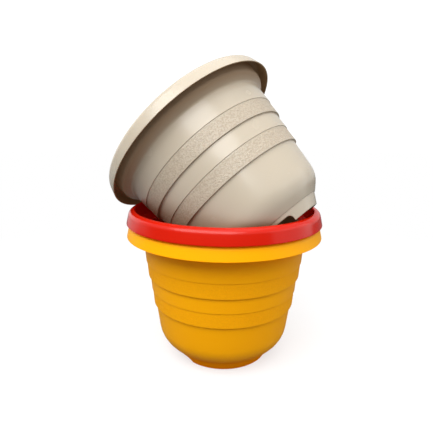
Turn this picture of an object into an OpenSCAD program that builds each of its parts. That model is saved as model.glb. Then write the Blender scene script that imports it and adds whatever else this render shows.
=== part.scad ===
// A stack of three identical moulded plant pots.
// The yellow pot stands on the ground, the red pot is nested in it, and the
// beige pot lies tilted in the mouth of the red one.
// Each pot is one moulding: a thin banded wall, a rolled rim with a hanging
// skirt, and a foot ring cut by three arches.
// Millimetres. The origin is the centre of the yellow pot's foot, +Z is up.

/* [Pot] */
// Height of one pot, foot to rim
pot_h = 217; // [212:0.5:222]
// Thickness of the wall, measured level
wall_t = 1.3; // [1:0.05:1.5]

/* [Rim] */
// Diameter of the rim at the bottom edge of its skirt
rim_d = 300; // [298:1:304]
// Depth of the skirt, top of the rim to its bottom edge
skirt_h = 20.6; // [18:0.1:20.8]
// How much the skirt spreads for each millimetre of depth
skirt_slope = 0.23; // [0.1:0.01:0.28]
// Radius of the rounded shoulder on top of the rim
shoulder_r = 9; // [7:0.5:11]
// Thickness of the rim and its skirt
rim_t = 1.6; // [1.2:0.1:1.8]

/* [Throat] */
// Height at which the wall turns outwards into the throat
throat_z = 188; // [187:0.5:189]
// Angle of the throat at its steepest flare, from upright
flare_angle = 55; // [50:1:58]
// Angle of the collar between the throat and the mouth, from upright
collar_angle = 7; // [6:0.5:9]
// Radius of the turn from the wall into the throat
flare_r = 6; // [4:1:8]
// Radius of the turn from the throat into the collar
collar_r = 6; // [4:1:8]

/* [Bands] */
// Height of the highest ledge above the ground
top_ledge_z = 157.2; // [156:0.1:159]
// Height of each band between two ledges
band_h = 23; // [22:0.1:23.5]
// Diameter of the pot just above the highest ledge
top_band_d = 245; // [243:0.5:247]
// How much the radius grows for each millimetre of height
band_draft = 0.083; // [0.08:0.001:0.09]
// Inward step under the first and third ledge from the top
small_step = 1.0; // [0.8:0.1:1.2]
// Inward step under the second and fourth ledge from the top
big_step = 2.8; // [2.4:0.1:3]

/* [Bowl] */
// Diameter of the bowl where it meets the foot ring
bowl_d = 166.6; // [165:0.2:168]
// Angle of the lower bowl, from upright
bowl_angle = 46; // [44:0.5:48]
// Radius of the curve from the lower bowl to the wall
bowl_r = 41; // [36:1:44]
// How much the radius grows for each millimetre above that curve
bowl_draft = 0.135; // [0.12:0.005:0.15]

/* [Foot] */
// Height of the foot ring
foot_h = 15.4; // [14:0.1:16]
// Diameter of the foot ring on the ground
foot_d = 146; // [142:0.5:150]
// Diameter of the foot ring at its top
foot_top_d = 164; // [163:0.5:165]
// Thickness of the foot ring, measured level
foot_t = 2.4; // [1.8:0.1:3]
// Thickness of the floor
floor_t = 1.8; // [1.2:0.1:2]
// Width of each arch through the foot ring
arch_w = 34; // [20:1:40]
// Height of each arch
arch_h = 10; // [6:0.5:12]
// Radius of an arch's upper corners
arch_r = 8; // [2:0.5:9]
// Angle of the yellow and red pots' first arch
arch_turn = 96.5; // [0:0.5:120]

/* [Drainage] */
// Diameter of a drain hole
drain_d = 9; // [4:0.5:12]
// Drain holes in the ring
drain_n = 6; // [3:1:8]
// Diameter of the circle that the ring of drain holes lies on
drain_ring_d = 100; // [60:1:120]

/* [Stack] */
// How far each nested pot stands above the one that holds it
nest_pitch = 20; // [20:0.1:21]
// Where the beige pot's foot centre lies: right of the stack's centre
lean_x = 79.7; // [79.6:0.1:79.9]
// Where the beige pot's foot centre lies: in front of the stack's centre
lean_y = 42.9; // [42.8:0.1:43]
// Where the beige pot's foot centre lies: above the ground
lean_z = 200.3; // [200.2:0.1:203]
// Compass direction that the beige pot's mouth points in, +X being 0
lean_turn = 152.8; // [152.6:0.1:153]
// Angle of the beige pot's own axis above level
lean_lift = 43.8; // [43.8:0.1:44]
// Angle of the beige pot's first arch about its own axis
lean_arch_turn = 4.5; // [0:0.5:120]

/* [Hidden] */
$fn = 180;
ARC_STEPS = 10;
SEAT_GAP = 0.1;          // air between a nested foot and the floor that holds it
ARCH_COUNT = 3;
EDGE_R = 1.2;            // inner rounding at the mouth
WEB_DROP = 1.2;          // thickening where the collar meets the rim's underside
CUT = 1;                 // how far a cutter passes a face that it cuts
ARCH_CUT = 6;            // how far an arch's cutter passes the foot ring, inside and outside

draft_angle = atan(band_draft);
bowl_draft_angle = atan(bowl_draft);
skirt_angle = atan(skirt_slope);

// Ledges are counted from the lowest, 0, to the highest, 3.
LEDGE_STEPS = [big_step, small_step, big_step, small_step];
TOP_LEDGE = len(LEDGE_STEPS) - 1;
function ledge_z(i) = top_ledge_z - (TOP_LEDGE - i) * band_h;
function r_above(i) = i == TOP_LEDGE ? top_band_d / 2 : r_below(i + 1) - band_draft * band_h;
function r_below(i) = r_above(i) - LEDGE_STEPS[i];

// Points of an arc about c, from angle a0 to a1, both ends included.
function arc(c, r, a0, a1) =
    [for (i = [0 : ARC_STEPS]) let (a = a0 + (a1 - a0) * i / ARC_STEPS)
        c + r * [cos(a), sin(a)]];
// Where the line through p at angle a, from upright, crosses the one through q at b.
function crossing(p, a, q, b) =
    let (z = (q[0] - p[0] + tan(a) * p[1] - tan(b) * q[1]) / (tan(a) - tan(b)))
    [p[0] + tan(a) * (z - p[1]), z];

// Centre of the arc that rounds corner c, where a path going up turns from angle a
// to angle b, both from upright.
function bend_centre(c, a, b, r) =
    c - r * tan(abs(b - a) / 2) * [sin(a), cos(a)] + sign(b - a) * r * [cos(a), -sin(a)];

// Bowl: a straight cone, an arc and a straight wall up to the lowest ledge.
bowl_foot = [bowl_d / 2, foot_h];
bowl_top = [r_below(0), ledge_z(0)];
bowl_corner = crossing(bowl_foot, bowl_angle, bowl_top, bowl_draft_angle);
bowl_centre = bend_centre(bowl_corner, bowl_angle, bowl_draft_angle, bowl_r);
bowl_wall = wall_t * cos(bowl_draft_angle);

// Rim: an upright skirt that spreads downwards, under a rounded shoulder.
skirt_z = pot_h - skirt_h;
shoulder_reach = shoulder_r * tan((90 - skirt_angle) / 2);
shoulder_centre = [rim_d / 2 - skirt_slope * skirt_h - shoulder_reach, pot_h - shoulder_r];
skirt_inset = rim_t / cos(skirt_angle);

// Throat: the inner wall flares outwards and turns back up into the collar.
edge_centre = [shoulder_centre[0], pot_h - EDGE_R];
collar_top = edge_centre + EDGE_R * [-cos(collar_angle), sin(collar_angle)];
flare_corner = [top_band_d / 2 - wall_t + band_draft * (throat_z - top_ledge_z), throat_z];
collar_corner = crossing(flare_corner, flare_angle, collar_top, collar_angle);
flare_centre = bend_centre(flare_corner, draft_angle, flare_angle, flare_r);
collar_centre = bend_centre(collar_corner, flare_angle, collar_angle, collar_r);
throat_wall = wall_t * cos(draft_angle);
// The outside of the collar runs up until it is close under the shoulder.
web_z = pot_h - rim_t - WEB_DROP;
web_r = collar_top[0] + throat_wall / cos(collar_angle) - tan(collar_angle) * (collar_top[1] - web_z);

floor_z = nest_pitch - SEAT_GAP;
foot_slope = (foot_top_d - foot_d) / 2 / foot_h;

// The outside of a pot from the ground up, over the rim and down to its throat.
function outer_points() = concat(
    [[foot_d / 2, 0], [foot_top_d / 2, foot_h], bowl_foot],
    arc(bowl_centre, bowl_r, -bowl_angle, -bowl_draft_angle),
    [for (i = [0 : TOP_LEDGE]) each [[r_below(i), ledge_z(i)], [r_above(i), ledge_z(i)]]],
    arc(flare_centre, flare_r - throat_wall, 180 - draft_angle, 180 - flare_angle),
    arc(collar_centre, collar_r + throat_wall, -flare_angle, -collar_angle),
    [[web_r, web_z]],
    arc(shoulder_centre, shoulder_r - rim_t, 90, skirt_angle),
    [[rim_d / 2 - skirt_inset, skirt_z], [rim_d / 2, skirt_z]],
    arc(shoulder_centre, shoulder_r, skirt_angle, 90),
    arc(edge_centre, EDGE_R, 90, 180 - collar_angle)
);

// The inside of a pot from the mouth down to the middle of the floor.
function inner_points() = concat(
    arc(collar_centre, collar_r, -collar_angle, -flare_angle),
    arc(flare_centre, flare_r, 180 - flare_angle, 180 - draft_angle),
    [for (i = [TOP_LEDGE : -1 : 0]) each [
        [r_above(i) - wall_t + band_draft * wall_t, ledge_z(i) + wall_t],
        [r_below(i) - wall_t, ledge_z(i) + wall_t]]],
    arc(bowl_centre, bowl_r - bowl_wall, -bowl_draft_angle, -bowl_angle),
    [[bowl_d / 2 + tan(bowl_angle) * (floor_z - foot_h) - bowl_wall / cos(bowl_angle), floor_z],
     [0, floor_z]]
);

// The hollow under the floor, inside the foot ring.
function under_points() =
    let (z = floor_z - floor_t)
    [[0, z], [foot_d / 2 - foot_t + foot_slope * z, z], [foot_d / 2 - foot_t, 0]];

// One arch, standing on the ground line and as wide as arch_w.
module arch_shape() {
    translate([-arch_w / 2, -CUT]) square([arch_w, arch_h - arch_r + CUT]);
    translate([-arch_w / 2 + arch_r, -CUT]) square([arch_w - 2 * arch_r, arch_h + CUT]);
    for (side = [-1, 1])
        translate([side * (arch_w / 2 - arch_r), arch_h - arch_r]) circle(r = arch_r);
}

// One hole through the floor, dist from the pot's axis.
module drain_hole(dist) {
    translate([dist, 0, floor_z - floor_t - CUT]) cylinder(d = drain_d, h = floor_t + 2 * CUT);
}

// One complete pot, its first arch turned to the given angle.
module pot(arch_angle) {
    ring_in = foot_d / 2 - foot_t - ARCH_CUT;
    ring_out = foot_top_d / 2 + ARCH_CUT;
    difference() {
        rotate_extrude() polygon(concat(outer_points(), inner_points(), under_points()));
        for (i = [0 : ARCH_COUNT - 1])
            rotate([0, 0, arch_angle + 360 / ARCH_COUNT * i])
                translate([ring_in, 0, 0]) rotate([90, 0, 90])
                    linear_extrude(ring_out - ring_in) arch_shape();
        drain_hole(0);
        for (i = [0 : drain_n - 1])
            rotate([0, 0, arch_angle + 360 / drain_n * i]) drain_hole(drain_ring_d / 2);
    }
}

module pot_yellow() color([0.98, 0.66, 0.02]) pot(arch_turn);

module pot_red() color([0.85, 0.1, 0.04]) translate([0, 0, nest_pitch]) pot(arch_turn);

module pot_beige()
    color([0.84, 0.8, 0.72])
        translate([lean_x, -lean_y, lean_z])
            rotate([0, 90 - lean_lift, lean_turn])
                pot(lean_arch_turn);

pot_yellow();
pot_red();
pot_beige();
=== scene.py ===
"""Looks for a stack of three moulded plant pots: yellow, red and beige.

Each pot is one lathed mesh with rounded edges, real grain on two of its bands, arches through
its foot ring and drain holes through its floor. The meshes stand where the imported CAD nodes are.
"""

from math import asin, atan, ceil, cos, pi, radians, sin, tan

import bpy
from mathutils import Matrix, Vector, geometry, noise

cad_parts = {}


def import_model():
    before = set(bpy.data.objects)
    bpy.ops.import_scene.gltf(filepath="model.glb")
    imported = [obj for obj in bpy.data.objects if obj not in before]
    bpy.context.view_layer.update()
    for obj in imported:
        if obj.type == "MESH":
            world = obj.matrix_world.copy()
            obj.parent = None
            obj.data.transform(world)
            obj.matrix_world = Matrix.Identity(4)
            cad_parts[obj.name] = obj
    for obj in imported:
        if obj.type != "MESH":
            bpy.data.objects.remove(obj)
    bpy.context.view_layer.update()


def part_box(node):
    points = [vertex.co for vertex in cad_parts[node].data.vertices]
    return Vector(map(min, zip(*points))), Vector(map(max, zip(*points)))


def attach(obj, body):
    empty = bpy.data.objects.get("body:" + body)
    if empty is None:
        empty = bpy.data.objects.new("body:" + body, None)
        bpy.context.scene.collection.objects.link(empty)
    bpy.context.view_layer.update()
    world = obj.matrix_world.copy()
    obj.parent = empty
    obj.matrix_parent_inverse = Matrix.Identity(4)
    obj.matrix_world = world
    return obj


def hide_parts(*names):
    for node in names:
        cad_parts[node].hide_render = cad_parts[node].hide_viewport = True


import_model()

# ---------------------------------------------------------------- sizes of one pot, in mm
MM = 0.001
RIM_D = 300
POT_H = 217
WALL_T = 1.3
# Rim
SKIRT_H = 20.6
SKIRT_SLOPE = 0.23
SHOULDER_R = 9
RIM_T = 1.6
EDGE_R = 1.2
WEB_DROP = 1.2
SKIRT_EDGE_R = 0.55
# Throat
THROAT_Z = 188
FLARE_ANGLE = radians(55)
COLLAR_ANGLE = radians(7)
FLARE_R = 6
COLLAR_R = 6
# Bands, with the inward step under each ledge from the top ledge down
TOP_LEDGE_Z = 157.2
BAND_H = 23
TOP_BAND_D = 245
BAND_DRAFT = 0.083
STEPS = (1.0, 2.8, 1.0, 2.8)
GRAINED = (1, 3)            # the bands below the first and the third ledge are grained
LEDGE_R = 0.4
# Bowl and foot
BOWL_D = 166.6
BOWL_ANGLE = radians(46)
BOWL_R = 41
BOWL_DRAFT = 0.135
FOOT_H = 15.4
FOOT_D = 146
FOOT_TOP_D = 164
FOOT_T = 2.4
FLOOR_T = 1.8
FLOOR_Z = 19.9
FLOOR_EDGE_R = 2.5
LIP_R = 0.5
FOOT_EDGE_R = 0.3
# Arches and drain holes
ARCH_COUNT = 3
ARCH_W = 34
ARCH_H = 10
ARCH_R = 8
DRAIN_D = 9
DRAIN_N = 6
DRAIN_RING_D = 100
DRAIN_EDGE = 0.4
DRAIN_SIDES = 40
# Grain
GRAIN_STEP = 1.2
GRAIN_CELL = 1.3
GRAIN_GAIN = 1.1
GRAIN_FLAT = 0.5            # how far the noise has to fall before a pit begins
GRAIN_FADE = 1.6
YELLOW_GRAIN = 0.12
RED_GRAIN = 0.2
BEIGE_GRAIN = 0.3
# Painted shade in the hollow under the rim: where it starts on the wall, where it is full, how much it
# hides
RIM_SHADE_FROM_Z = 183
RIM_SHADE_FULL_Z = 191
RIM_SHADE_SHARE = 0.66
# Shade: how near a wall shuts a point off, in metres, and how dark the creases under the ledges are
SHADE_REACH = 0.05
CREASE_DARK = 0.7

# ---------------------------------------------------------------- how the pots stand
UPRIGHT_ARCH_TURN = radians(96.5)
LEAN_TURN = radians(152.8)
LEAN_LIFT = radians(43.8)
LEAN_ARCH_TURN = radians(4.5)

# ---------------------------------------------------------------- mesh resolution
COLUMNS = 516
ARC_STEP = radians(11)
CHORD = 0.5
RUN_STEP = 12.0
FOOT_ROWS = 5
SHARP_ANGLE = radians(50)
ARCH_SPLIT = (10, 11, 3, 2)     # columns over half an arch: top, corner, side, ground
LEVEL = radians(89.999)         # as good as level, and its tangent is still a number


# ================================================================ profile of one pot
def crossing(p, a, q, b):
    """Where the line through p at angle a from upright crosses the one through q at angle b."""
    z = (q.x - p.x + tan(a) * p.y - tan(b) * q.y) / (tan(a) - tan(b))
    return Vector((p.x + tan(a) * (z - p.y), z))


def beside(point, angle, shift):
    """The point moved sideways, so that a line through it at that angle moves by shift."""
    return point + Vector((shift / cos(angle), 0))


def round_corner(before, corner, after, radius):
    """Points of the arc that rounds a corner of an outline."""
    u = (before - corner).normalized()
    v = (after - corner).normalized()
    half = u.angle(v) / 2
    if radius <= 0 or half > pi / 2 - 0.01:
        return [corner]
    reach = radius / tan(half)
    centre = corner + (u + v).normalized() * radius / sin(half)
    arm = corner + u * reach - centre
    turn = pi - 2 * half
    if u.x * v.y - u.y * v.x > 0:
        turn = -turn
    count = max(2, min(ceil(abs(turn) / ARC_STEP), ceil(radius * abs(turn) / CHORD)))
    return [centre + Matrix.Rotation(turn * i / count, 2) @ arm for i in range(count + 1)]


def ledges():
    """The four ledges from the top down: (height, radius above, radius below)."""
    radius = TOP_BAND_D / 2
    found = []
    for i, step in enumerate(STEPS):
        found.append((TOP_LEDGE_Z - i * BAND_H, radius, radius - step))
        radius -= step + BAND_DRAFT * BAND_H
    return found


def bowl_corners():
    """Corners of the bowl between the foot ring and the lowest ledge."""
    draft = atan(BOWL_DRAFT)
    wall = WALL_T * cos(draft)
    z, _, radius = ledges()[-1]
    foot = Vector((BOWL_D / 2, FOOT_H))
    foot_inside = beside(foot, BOWL_ANGLE, -wall)
    top, top_inside = Vector((radius, z)), Vector((radius - WALL_T, z))
    outside = [(Vector((FOOT_TOP_D / 2, FOOT_H)), FOOT_EDGE_R, False),
               (foot, FOOT_EDGE_R, False),
               (crossing(foot, BOWL_ANGLE, top, draft), BOWL_R, False)]
    inside = [(crossing(foot_inside, BOWL_ANGLE, Vector((0, FLOOR_Z)), LEVEL), FLOOR_EDGE_R, False),
              (crossing(foot_inside, BOWL_ANGLE, top_inside, draft), BOWL_R - wall, False)]
    return outside, inside


def ledge_corners():
    """Corners of the ledges from the lowest up, each with the band above it."""
    outside, inside = [], []
    for i, (z, above, below) in reversed(list(enumerate(ledges()))):
        outside.append((Vector((below, z)), LEDGE_R, False))
        outside.append((Vector((above, z)), LEDGE_R, i in GRAINED))
        inside.append((Vector((below - WALL_T, z + WALL_T)), LEDGE_R, False))
        inside.append((Vector((above - WALL_T + BAND_DRAFT * WALL_T, z + WALL_T)), LEDGE_R, False))
    return outside, inside


def shoulder_radius():
    """Distance from the axis at which the rim's flat top meets its rounded shoulder."""
    return RIM_D / 2 - SKIRT_SLOPE * SKIRT_H - SHOULDER_R * tan((pi / 2 - atan(SKIRT_SLOPE)) / 2)


def throat_corners():
    """Corners of the throat and the collar, up to the mouth inside and the web outside."""
    draft = atan(BAND_DRAFT)
    wall = WALL_T * cos(draft)
    flare = Vector((TOP_BAND_D / 2 - WALL_T + BAND_DRAFT * (THROAT_Z - TOP_LEDGE_Z), THROAT_Z))
    mouth = Vector((shoulder_radius() - EDGE_R * cos(COLLAR_ANGLE),
                    POT_H - EDGE_R + EDGE_R * sin(COLLAR_ANGLE)))
    inside = [(flare, FLARE_R, False),
              (crossing(flare, FLARE_ANGLE, mouth, COLLAR_ANGLE), COLLAR_R, False),
              (crossing(mouth, COLLAR_ANGLE, Vector((0, POT_H)), LEVEL), EDGE_R, False)]
    flare_outside = beside(flare, FLARE_ANGLE, wall)
    mouth_outside = beside(mouth, COLLAR_ANGLE, wall)
    web = Vector((0, POT_H - RIM_T - WEB_DROP))
    outside = [(crossing(beside(flare, draft, wall), draft, flare_outside, FLARE_ANGLE),
                FLARE_R - wall, False),
               (crossing(flare_outside, FLARE_ANGLE, mouth_outside, COLLAR_ANGLE),
                COLLAR_R + wall, False),
               (crossing(mouth_outside, COLLAR_ANGLE, web, LEVEL), 0, False)]
    return outside, inside


def rim_corners():
    """Corners of the rim, from under its top, round the skirt's edge and up to the shoulder."""
    slope = atan(SKIRT_SLOPE)
    under = POT_H - RIM_T
    edge_inside = Vector((RIM_D / 2 - RIM_T / cos(slope), POT_H - SKIRT_H))
    return [(Vector((shoulder_radius(), under)), 0, False),
            (crossing(edge_inside, -slope, Vector((0, under)), LEVEL), SHOULDER_R - RIM_T, False),
            (edge_inside, SKIRT_EDGE_R, False),
            (Vector((RIM_D / 2, POT_H - SKIRT_H)), SKIRT_EDGE_R, False),
            (Vector((RIM_D / 2 - SKIRT_SLOPE * SKIRT_H, POT_H)), SHOULDER_R, False)]


def wall_corners():
    """Corners of the outside and the inside wall, from the foot up: (point, rounding, grained)."""
    outside, inside = [], []
    for part in (bowl_corners(), ledge_corners(), throat_corners()):
        outside += part[0]
        inside += part[1]
    return outside + rim_corners(), inside


def pot_profile():
    """The profile from the top of the foot, over the rim, down to the floor: (r, z, grain)."""
    outside, inside = wall_corners()
    ring = outside + inside[::-1]
    points = [entry[0] for entry in ring]
    start = Vector((FOOT_TOP_D / 2, FOOT_H))
    rows = [(start.x, start.y, 0.0)]
    for i in range(1, len(ring)):
        after = points[i + 1] if i + 1 < len(ring) else Vector((0, FLOOR_Z))
        arc = round_corner(points[i - 1], points[i], after, ring[i][1])
        last = Vector(rows[-1][:2])
        rows += run(last, arc[0], grained=ring[i - 1][2])
        rows += [(p.x, p.y, 0.0) for p in arc]
    return rows


def run(a, b, grained):
    """Rows strictly between two points of a straight stretch, dense where it carries grain."""
    length = (b - a).length
    count = ceil(length / (GRAIN_STEP if grained else RUN_STEP))
    rows = []
    for i in range(1, count):
        p = a.lerp(b, i / count)
        edge = min(i, count - i) * length / count
        rows.append((p.x, p.y, min(1.0, edge / GRAIN_FADE) if grained else 0.0))
    return rows


# ================================================================ foot ring, arches and floor
def foot_radius(z):
    """Radius of the foot ring's outer face at a height."""
    return FOOT_D / 2 + (FOOT_TOP_D - FOOT_D) / 2 * z / FOOT_H


def half_arch():
    """Outline of half an arch, from its middle outwards: (x, z, normal x, normal z) per column."""
    top, corner, side, _ = ARCH_SPLIT
    flat = ARCH_W / 2 - ARCH_R
    outline = [(flat * i / top, ARCH_H, 0, 1) for i in range(top)]
    for i in range(corner):
        a = pi / 2 * i / corner
        outline.append((flat + ARCH_R * sin(a), ARCH_H - ARCH_R + ARCH_R * cos(a), sin(a), cos(a)))
    for i in range(side):
        outline.append((ARCH_W / 2, (ARCH_H - ARCH_R) * (1 - i / side), 1, 0))
    outline.append((ARCH_W / 2, 0, 0.7, 0.7))
    return outline


def lip_columns():
    """For each column: an angle, and the foot's edge off that angle as (x, z, normal x, normal z).

    In an arch's window the angle is the arch's own; on the ground the edge is level."""
    window = sum(ARCH_SPLIT)
    outline = half_arch()
    spacing = COLUMNS // ARCH_COUNT
    columns = []
    for j in range(COLUMNS):
        k = (j + spacing // 2) % spacing - spacing // 2
        side = 1 if k >= 0 else -1
        if abs(k) < len(outline):
            x, z, nx, nz = outline[abs(k)]
            columns.append((2 * pi * (j - k) / COLUMNS, side * x, z, side * nx, nz))
        elif abs(k) < window:
            # the ground between the arch's leg and the end of its window
            share = (abs(k) - len(outline) + 1) / (window - len(outline) + 1)
            leg = asin(ARCH_W / 2 / foot_radius(0))
            angle = leg + share * (2 * pi * window / COLUMNS - leg)
            columns.append((2 * pi * (j - k) / COLUMNS + side * angle, 0, 0, 0, 1))
        else:
            columns.append((2 * pi * j / COLUMNS, 0, 0, 0, 1))
    return columns


def lip_row(columns, lift, depth):
    """One row along the foot's lower edge, lifted off the edge and set in from the outer face."""
    row = []
    for angle, x, z, nx, nz in columns:
        z += lift * nz
        radius = foot_radius(z) - depth
        row.append((angle + asin((x + lift * nx) / radius), z, radius))
    return row


def foot_rows():
    """Rows of the foot ring, from the hollow's top, down its inside, round its lip and up."""
    columns = lip_columns()
    under = FLOOR_Z - FLOOR_T
    inner = lip_row(columns, LIP_R, FOOT_T)
    outer = lip_row(columns, LIP_R, 0)
    rows = []
    for i in range(FOOT_ROWS):
        share = i / FOOT_ROWS
        row = []
        for j, (angle, z, _) in enumerate(inner):
            column = 2 * pi * j / COLUMNS
            height = under + share * (z - under)
            row.append((column + share * near(angle - column), height, foot_radius(height) - FOOT_T))
        rows.append(row)
    for a in (0, pi / 4, pi / 2):
        rows.append(lip_row(columns, LIP_R * (1 - sin(a)), FOOT_T - LIP_R * (1 - cos(a))))
    for a in (pi / 2, pi / 4, 0):
        rows.append(lip_row(columns, LIP_R * (1 - sin(a)), LIP_R * (1 - cos(a))))
    for i in range(1, FOOT_ROWS):
        share = i / FOOT_ROWS
        row = []
        for j, (angle, z, _) in enumerate(outer):
            column = 2 * pi * j / COLUMNS
            height = z + share * (FOOT_H - z)
            row.append((column + (1 - share) * near(angle - column), height, foot_radius(height)))
        rows.append(row)
    return rows


def near(angle):
    """The same angle between -pi and pi."""
    return (angle + pi) % (2 * pi) - pi


def drain_centres():
    """Centres of the drain holes: the middle one, then the ring round it."""
    ring = [Matrix.Rotation(2 * pi * i / DRAIN_N, 2) @ Vector((DRAIN_RING_D / 2, 0))
            for i in range(DRAIN_N)]
    return [Vector((0, 0))] + ring


def grain_height(x, y, z):
    """Depth of the moulded grain at a point, from -1 in a pit to 0 on the flat between pits."""
    height = noise.noise(Vector((x, y, z)) / GRAIN_CELL)
    return min(0.0, max(-1.0, GRAIN_GAIN * height - GRAIN_FLAT))


def rim_shade_at(z):
    """How much painted shade lies at a height on the outside: none on the wall, all under the rim."""
    return min(1.0, max(0.0, (z - RIM_SHADE_FROM_Z) / (RIM_SHADE_FULL_Z - RIM_SHADE_FROM_Z)))


def pot_mesh(name, grain_depth):
    """The mesh of one upright pot standing on its own origin, in metres."""
    verts, faces, marks = [], [], []
    for row in foot_rows():
        for angle, z, radius in row:
            verts.append((radius * cos(angle), radius * sin(angle), z))
            marks.append((0.0, 0.0, 0.0))
    profile = pot_profile()
    skirt_edge = profile.index(max(profile))
    for i, (r, z, grain) in enumerate(profile):
        # painted shade under the rim, carried to the shader in a mesh attribute
        rim_shade = rim_shade_at(z) if i < skirt_edge else 0.0
        for j in range(COLUMNS):
            x, y = cos(2 * pi * j / COLUMNS), sin(2 * pi * j / COLUMNS)
            pit = grain * grain_height(r * x, r * y, z) if grain > 0 else 0.0
            radius = r + grain_depth * pit
            verts.append((radius * x, radius * y, z))
            marks.append((grain, -pit, rim_shade))
    count = len(verts) // COLUMNS
    for i in range(count - 1):
        for j in range(COLUMNS):
            a, b = i * COLUMNS + j, i * COLUMNS + (j + 1) % COLUMNS
            faces.append((a, b, b + COLUMNS, a + COLUMNS))

    top_holes, under_holes = drain_walls(verts, faces)
    marks += [(0.0, 0.0, 0.0)] * (len(verts) - len(marks))
    rim = (count - 1) * COLUMNS
    faces += flat_face(verts, [rim + j for j in range(COLUMNS)], top_holes)
    faces += [f[::-1] for f in flat_face(verts, list(range(COLUMNS)), under_holes)]

    mesh = bpy.data.meshes.new(name)
    mesh.from_pydata([(x * MM, y * MM, z * MM) for x, y, z in verts], [], faces)
    for i, kind in enumerate(("grain", "pit", "rim_shade")):
        attribute = mesh.attributes.new(kind, "FLOAT", "POINT")
        attribute.data.foreach_set("value", [mark[i] for mark in marks])
    mesh.shade_smooth()
    mesh.set_sharp_from_angle(angle=SHARP_ANGLE)
    mesh.validate()
    return mesh


def drain_walls(verts, faces):
    """Adds the walls of the drain holes; returns each hole's loop in the floor's top and underside."""
    under = FLOOR_Z - FLOOR_T
    levels = [(DRAIN_EDGE / 2, FLOOR_Z), (0, FLOOR_Z - DRAIN_EDGE),
              (0, under + DRAIN_EDGE), (DRAIN_EDGE / 2, under)]
    top_holes, under_holes = [], []
    for centre in drain_centres():
        first = len(verts)
        for widen, z in levels:
            for k in range(DRAIN_SIDES):
                a = 2 * pi * k / DRAIN_SIDES
                radius = DRAIN_D / 2 + widen
                verts.append((centre.x + radius * cos(a), centre.y + radius * sin(a), z))
        for i in range(len(levels) - 1):
            for k in range(DRAIN_SIDES):
                a = first + i * DRAIN_SIDES + k
                b = first + i * DRAIN_SIDES + (k + 1) % DRAIN_SIDES
                faces.append((a, b, b + DRAIN_SIDES, a + DRAIN_SIDES))
        top_holes.append([first + k for k in range(DRAIN_SIDES)])
        last = first + (len(levels) - 1) * DRAIN_SIDES
        under_holes.append([last + k for k in range(DRAIN_SIDES)])
    return top_holes, under_holes


def flat_face(verts, outer, holes):
    """Triangles of a level face with holes, facing up, between loops of vertex numbers."""
    loops = [outer] + holes
    numbers = [v for loop in loops for v in loop]
    edges, first = [], 0
    for loop in loops:
        n = len(loop)
        edges += [(first + i, first + (i + 1) % n) for i in range(n)]
        first += n
    flat = [Vector(verts[v][:2]) for v in numbers]
    out, _, triangles, origin, _, _ = geometry.delaunay_2d_cdt(flat, edges, [], 0, 1e-5)
    centres = drain_centres()
    kept = []
    for triangle in triangles:
        middle = sum((out[v] for v in triangle), Vector((0, 0))) / 3
        if all((middle - c).length > DRAIN_D / 2 for c in centres):
            kept.append(tuple(numbers[origin[v][0]] for v in triangle))
    return kept


# ================================================================ placing the pots
def upright(node):
    """Stands a pot on its axis, with its foot at the bottom of the CAD node's box."""
    low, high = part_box(node)
    centre = (low + high) / 2
    return Matrix.Translation((centre.x, centre.y, low.z)) @ Matrix.Rotation(UPRIGHT_ARCH_TURN, 4, "Z")


def leaning(node, mesh):
    """Tilts a pot as the leaning one lies, with the middle of its box on the CAD node's."""
    turn = (Matrix.Rotation(LEAN_TURN, 4, "Z") @ Matrix.Rotation(pi / 2 - LEAN_LIFT, 4, "Y")
            @ Matrix.Rotation(LEAN_ARCH_TURN, 4, "Z"))
    points = [turn @ v.co for v in mesh.vertices]
    middle = Vector([(min(p[i] for p in points) + max(p[i] for p in points)) / 2 for i in range(3)])
    low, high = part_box(node)
    return Matrix.Translation((low + high) / 2 - middle) @ turn


def place_pot(name, mesh, matrix, node, body, material):
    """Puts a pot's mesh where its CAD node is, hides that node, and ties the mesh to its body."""
    mesh.transform(matrix)
    mesh.materials.append(material)
    pot = bpy.data.objects.new(name, mesh)
    bpy.context.scene.collection.objects.link(pot)
    weighted = pot.modifiers.new("weighted_normals", "WEIGHTED_NORMAL")
    weighted.keep_sharp = True
    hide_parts(node)
    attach(pot, body)


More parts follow.
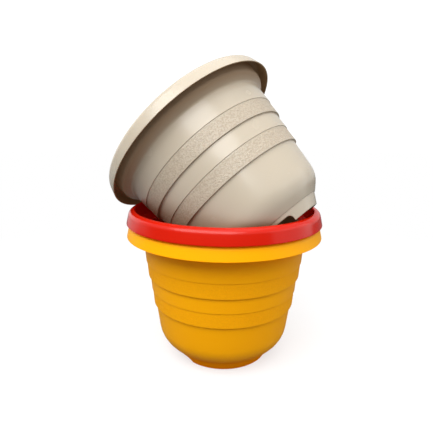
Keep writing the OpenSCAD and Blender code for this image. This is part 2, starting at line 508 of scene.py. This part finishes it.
# ================================================================ materials
class Nodes:
    """A short way to write a node tree."""

    def __init__(self, owner, shader="Principled BSDF"):
        owner.use_nodes = True
        self.tree = owner.node_tree
        self.shader = self.tree.nodes[shader]

    def add(self, kind, inputs=None, **settings):
        node = self.tree.nodes.new(kind)
        for key, value in settings.items():
            setattr(node, key, value)
        for key, value in (inputs or {}).items():
            self.put(node.inputs[key], value)
        return node

    def put(self, socket, value):
        if isinstance(value, bpy.types.NodeSocket):
            self.tree.links.new(value, socket)
        else:
            socket.default_value = value

    def point(self):
        return self.add("ShaderNodeTexCoord").outputs["Object"]

    def noise(self, scale, detail=2.0, roughness=0.5, stretch=None):
        where = self.point()
        if stretch:
            where = self.add("ShaderNodeMapping", {"Vector": where, "Scale": stretch}).outputs[0]
        node = self.add("ShaderNodeTexNoise", {"Vector": where, "Scale": scale, "Detail": detail,
                                               "Roughness": roughness})
        return node.outputs["Fac"]

    def cells(self, scale):
        node = self.add("ShaderNodeTexVoronoi", {"Vector": self.point(), "Scale": scale},
                        feature="SMOOTH_F1")
        return node.outputs["Distance"]

    def attribute(self, name):
        return self.add("ShaderNodeAttribute", attribute_name=name).outputs["Fac"]

    def math(self, operation, a, b=0.0, c=0.0):
        node = self.add("ShaderNodeMath", operation=operation)
        for socket, value in zip(node.inputs, (a, b, c)):
            self.put(socket, value)
        return node.outputs[0]

    def span(self, value, low, high, to_low=0.0, to_high=1.0):
        """Maps low..high to to_low..to_high, smoothly and clamped."""
        node = self.add("ShaderNodeMapRange", {"Value": value, "From Min": low, "From Max": high,
                                               "To Min": to_low, "To Max": to_high},
                        interpolation_type="SMOOTHSTEP")
        return node.outputs[0]

    def mix(self, share, a, b):
        node = self.add("ShaderNodeMix", data_type="RGBA")
        self.put(node.inputs[0], share)
        self.put(node.inputs[6], a)
        self.put(node.inputs[7], b)
        return node.outputs[2]

    def bump(self, height, distance, strength=1.0, under=None):
        node = self.add("ShaderNodeBump", {"Height": height, "Distance": distance,
                                           "Strength": strength})
        if under:
            self.put(node.inputs["Normal"], under)
        return node.outputs[0]


def rgb(code):
    """A colour as the renderer wants it, from its usual six hexadecimal digits."""
    values = [int(code[i:i + 2], 16) / 255 for i in (0, 2, 4)]
    return [v / 12.92 if v <= 0.04045 else ((v + 0.055) / 1.055) ** 2.4 for v in values] + [1]


def moulded_plastic(name, base, deep, shaded, creases, glow, pit_dark, roughness, sheen, coat):
    """Injection-moulded plastic with fine grain and scuffs, painted shade in hollows, creases, grain
    pits and under the rim, and a painted glow in that shade.
    """
    material = bpy.data.materials.new(name)
    n = Nodes(material)
    grain = n.attribute("grain")
    hidden = hidden_share(n)
    colour = pigment(n, grain, base, deep, creases, pit_dark)
    # painted shade: hollows and the band under the rim take the darker shaded colour
    colour = n.mix(hidden, colour, rgb(shaded))
    # painted shade: thin dark lines in the crease where a ledge meets the wall below it
    crease = n.add("ShaderNodeNewGeometry").outputs["Pointiness"]
    colour = n.mix(n.span(crease, 0.36, 0.48, CREASE_DARK, 0.0), colour, rgb(creases))
    n.put(n.shader.inputs["Base Color"], colour)
    # painted glow: the thin wall glows with a deeper colour where little light falls on it from
    # outside, in the hollows and the painted shade under the rim
    n.put(n.shader.inputs["Emission Color"], rgb(shaded))
    n.put(n.shader.inputs["Emission Strength"], n.math("MULTIPLY", hidden, glow))
    gloss(n, grain, hidden, roughness, sheen, coat)
    n.put(n.shader.inputs["Subsurface Weight"], 0.05)
    n.put(n.shader.inputs["Subsurface Radius"], (0.004, 0.002, 0.001))
    n.put(n.shader.inputs["Normal"], fine_relief(n, grain, pit_dark))
    return material


def hidden_share(n):
    """How far a point is in painted shade: shut off from the room in hollows, and in the band of
    painted shade under the rim.
    """
    open_sky = n.add("ShaderNodeAmbientOcclusion", {"Distance": SHADE_REACH}, samples=6).outputs["AO"]
    # painted shade under the rim, from the mesh attribute
    rim_shade = n.math("MULTIPLY", n.attribute("rim_shade"), RIM_SHADE_SHARE)
    return n.math("MAXIMUM", n.span(open_sky, 0.0, 0.85, 1.0, 0.0), rim_shade)


def pigment(n, grain, base, deep, creases, pit_dark):
    """Slow drift of the pigment, flow marks round the wall, and painted shade in the grain: darker pits
    and dark specks.
    """
    drift = n.span(n.noise(5.0, 1.0), 0.1, 0.9, 0.0, 0.25)
    flow = n.span(n.noise(26.0, 3.0, stretch=(1, 1, 0.12)), 0.3, 0.8, 0.0, 0.1)
    colour = n.mix(n.math("ADD", drift, flow), rgb(base), rgb(deep))
    # painted shade in the grain's pits, darker where a pit is deeper
    colour = n.mix(n.math("MULTIPLY", n.attribute("pit"), pit_dark), colour, rgb(deep))
    # painted shade: dark specks on the grained bands stand in for the shading of their fine relief
    speck = n.math("MULTIPLY", n.span(n.noise(480.0, 1.0), 0.35, 0.65), grain)
    return n.mix(n.math("MULTIPLY", speck, pit_dark), colour, rgb(creases))


def gloss(n, grain, hidden, roughness, sheen, coat):
    """Softly rubbed patches, fine scuffs, a duller sheen on the grain, and none in the hollows."""
    rub = n.span(n.noise(9.0, 2.0), 0.3, 0.75, -0.03, 0.03)
    scuff = n.span(n.noise(220.0, 4.0, 0.7, stretch=(1, 1, 5)), 0.64, 0.82, 0.0, 0.1)
    worn = n.math("ADD", n.math("ADD", roughness, rub), scuff)
    shine = n.math("POWER", n.math("SUBTRACT", 1.0, hidden), 3.0)
    lacquer = n.math("MULTIPLY", n.math("SUBTRACT", 1.0, grain), coat)
    n.put(n.shader.inputs["Roughness"], n.math("MULTIPLY_ADD", grain, 0.16, worn))
    n.put(n.shader.inputs["Specular IOR Level"], n.math("MULTIPLY", shine, sheen))
    n.put(n.shader.inputs["Coat Weight"], n.math("MULTIPLY", lacquer, shine))
    n.put(n.shader.inputs["Coat Roughness"], 0.08)


def fine_relief(n, grain, pit_dark):
    """Relief finer than the mesh: mould texture everywhere, sharper grain on the two bands."""
    skin = n.bump(n.noise(900.0, 2.0), 0.00002, 0.4)
    leather = n.math("MULTIPLY", n.cells(620.0), n.math("MULTIPLY", grain, pit_dark))
    return n.bump(leather, 0.004, 0.6, skin)


def studio_floor():
    """Pale matte paper, lit so brightly that the camera sees it fade to white round the object."""
    material = bpy.data.materials.new("studio_paper")
    n = Nodes(material)
    seen = n.add("ShaderNodeLightPath").outputs["Is Camera Ray"]
    far = n.add("ShaderNodeVectorMath", {0: n.point()}, operation="LENGTH").outputs["Value"]
    glow = n.math("MULTIPLY", seen, n.span(far, 0.25, 1.0, PAPER_GLOW, 1.0))
    cloud = n.span(n.noise(3.0, 3.0), 0.3, 0.7)
    paper = n.mix(cloud, (0.92, 0.92, 0.92, 1), (0.96, 0.96, 0.96, 1))
    paper = n.mix(seen, (PAPER_BOUNCE, PAPER_BOUNCE, PAPER_BOUNCE, 1), paper)
    n.put(n.shader.inputs["Base Color"], n.mix(glow, paper, (0, 0, 0, 1)))
    n.put(n.shader.inputs["Emission Strength"], glow)
    n.put(n.shader.inputs["Emission Color"], (1, 1, 1, 1))
    n.put(n.shader.inputs["Normal"], n.bump(n.noise(500.0, 2.0), 0.00005, 0.3))
    n.put(n.shader.inputs["Roughness"], 0.9)
    n.put(n.shader.inputs["Specular IOR Level"], 0.0)
    return material


# ================================================================ studio
FLOOR_RADIUS = 9.0
FLOOR_RINGS = 12
FLOOR_SIDES = 64
PAPER_GLOW = 0.65
PAPER_BOUNCE = 0.2
MIDDLE = (0, 0, 0.2)
CAMERA_PLACE = (-0.0118, -0.5728, 0.3458)
CAMERA_TIP = radians(12.33)
CAMERA_ROLL = radians(0.39)
CAMERA_LENS = 30.883


def floor():
    """A round paper floor, level with the yellow pot's foot."""
    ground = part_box("pot_yellow")[0].z
    verts = [(0, 0, ground)]
    faces = []
    for i in range(1, FLOOR_RINGS + 1):
        radius = FLOOR_RADIUS * (i / FLOOR_RINGS) ** 2
        for k in range(FLOOR_SIDES):
            a = 2 * pi * k / FLOOR_SIDES
            verts.append((radius * cos(a), radius * sin(a), ground))
    for k in range(FLOOR_SIDES):
        after = (k + 1) % FLOOR_SIDES
        faces.append((0, 1 + k, 1 + after))
        for i in range(FLOOR_RINGS - 1):
            a, b = 1 + i * FLOOR_SIDES + k, 1 + i * FLOOR_SIDES + after
            faces.append((a, a + FLOOR_SIDES, b + FLOOR_SIDES, b))
    mesh = bpy.data.meshes.new("floor")
    mesh.from_pydata(verts, [], faces)
    mesh.materials.append(studio_floor())
    obj = bpy.data.objects.new("floor", mesh)
    bpy.context.scene.collection.objects.link(obj)


def world(seen, low, high, back):
    """A pale backdrop behind, and in front a room that is dim low down and paler high up.

    The camera itself sees plain white."""
    surround = bpy.data.worlds.new("surround")
    bpy.context.scene.world = surround
    n = Nodes(surround, "Background")
    n.put(n.shader.inputs["Color"], (1, 1, 1, 1))
    direction = n.add("ShaderNodeTexCoord").outputs["Generated"]
    parts = n.add("ShaderNodeSeparateXYZ", {0: direction}).outputs
    room = n.span(parts["Z"], 0.15, 0.5, low, high)
    around = n.span(parts["Y"], -0.1, 0.3, room, back)
    camera_ray = n.add("ShaderNodeLightPath").outputs["Is Camera Ray"]
    n.put(n.shader.inputs["Strength"], n.span(camera_ray, 0.0, 1.0, around, seen))


def softbox(name, place, target, width, height, radiance):
    """A soft rectangular light that faces the target, as bright as radiance, white paper being 1."""
    light = bpy.data.lights.new(name, "AREA")
    light.shape = "RECTANGLE"
    light.size, light.size_y = width, height
    light.energy = radiance * pi * width * height
    obj = bpy.data.objects.new(name, light)
    obj.location = place
    obj.rotation_euler = (Vector(target) - Vector(place)).to_track_quat("-Z", "Y").to_euler()
    bpy.context.scene.collection.objects.link(obj)


def camera():
    """The viewpoint: in front of the stack, a little above the rims, tipped down."""
    data = bpy.data.cameras.new("camera")
    data.sensor_width = 36
    data.lens = CAMERA_LENS
    obj = bpy.data.objects.new("camera", data)
    centre = (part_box("pot_yellow")[0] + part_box("pot_yellow")[1]) / 2
    place = Vector((centre.x, centre.y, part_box("pot_yellow")[0].z)) + Vector(CAMERA_PLACE)
    obj.matrix_world = (Matrix.Translation(place) @ Matrix.Rotation(pi / 2 - CAMERA_TIP, 4, "X")
                        @ Matrix.Rotation(CAMERA_ROLL, 4, "Z"))
    bpy.context.scene.collection.objects.link(obj)
    bpy.context.scene.camera = obj


# ================================================================ the scene
yellow = moulded_plastic("yellow_plastic", base="FFB000", deep="FBA000", shaded="FF8400",
                         creases="B06000", glow=0.1, pit_dark=0.08,
                         roughness=0.42, sheen=0.12, coat=0.0)
red = moulded_plastic("red_plastic", base="CC1A02", deep="BA0E00", shaded="D81400",
                      creases="900800", glow=0.06, pit_dark=0.1,
                      roughness=0.2, sheen=0.32, coat=0.0)
beige = moulded_plastic("beige_plastic", base="BFB3A0", deep="B4A893", shaded="80603F",
                        creases="7A5638", glow=0.1, pit_dark=0.28,
                        roughness=0.26, sheen=0.5, coat=0.1)

place_pot("yellow_pot", pot_mesh("yellow_pot", YELLOW_GRAIN), upright("pot_yellow"),
          "pot_yellow", "yellow", yellow)
place_pot("red_pot", pot_mesh("red_pot", RED_GRAIN), upright("pot_red"),
          "pot_red", "red", red)
beige_mesh = pot_mesh("beige_pot", BEIGE_GRAIN)
place_pot("beige_pot", beige_mesh, leaning("pot_beige", beige_mesh),
          "pot_beige", "beige", beige)

floor()
world(seen=1.1, low=0.14, high=0.9, back=0.7)
softbox("key", (-0.45, -1.0, 1.4), MIDDLE, 2.0, 1.0, 4.6)
softbox("top", (0, 0.1, 1.9), MIDDLE, 1.8, 1.8, 0.8)
softbox("left_card", (-1.0, 0.9, 0.5), MIDDLE, 1.2, 1.2, 0.5)
softbox("right_card", (1.38, -0.24, 0.5), MIDDLE, 1.6, 1.2, 0.8)
camera()
bpy.context.scene.view_settings.view_transform = "Standard"
